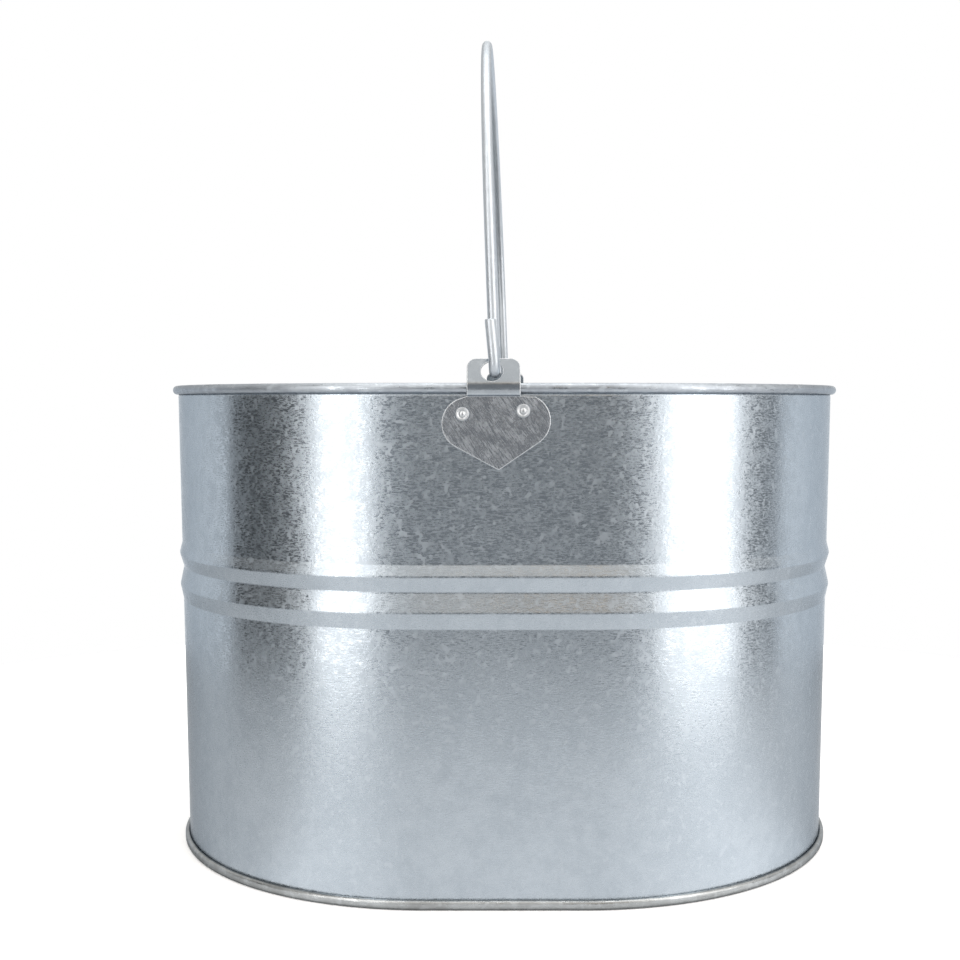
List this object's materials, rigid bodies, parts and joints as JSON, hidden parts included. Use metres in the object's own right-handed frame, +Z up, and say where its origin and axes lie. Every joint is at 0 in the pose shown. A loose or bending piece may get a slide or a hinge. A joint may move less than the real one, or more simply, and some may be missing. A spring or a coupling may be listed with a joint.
{
  "type": "florist bucket",
  "caption": "Oval galvanised steel bucket with a rolled rim, a pressed double bead, riveted ears and a folding wire bail.",
  "frame": {"origin": "centre of the foot ring, on the floor the bucket stands on", "axes": "+X along the long sides, +Y from the near long side to the far one, +Z up"},
  "size_m": [0.3604, 0.2987, 0.4291],
  "materials": {
    "sheet": "galvanised, fine spangle, satin",
    "pan": "galvanised, satin",
    "core": "plain drawn wire, hidden",
    "ear": "galvanised pressed steel",
    "rivet": "bright zinc",
    "bail": "bright zinc wire"
  },
  "bodies": {
    "bucket": {"body_wall": "sheet", "bottom_pan": "pan", "rim_wire": "core", "front_ear": "ear", "rear_ear": "ear", "front_rivet_left": "rivet", "front_rivet_right": "rivet", "rear_rivet_left": "rivet", "rear_rivet_right": "rivet"},
    "bail": {"bail_handle": "bail"}
  },
  "joints": [
    {"name": "bail_swing", "type": "hinge", "parent": "bucket", "child": "bail", "pos_m": [-0.002, 0, 0.2491], "axis": [0.017, 0.9999, 0], "range_deg": [-88.4, 92.7]}
  ]
}
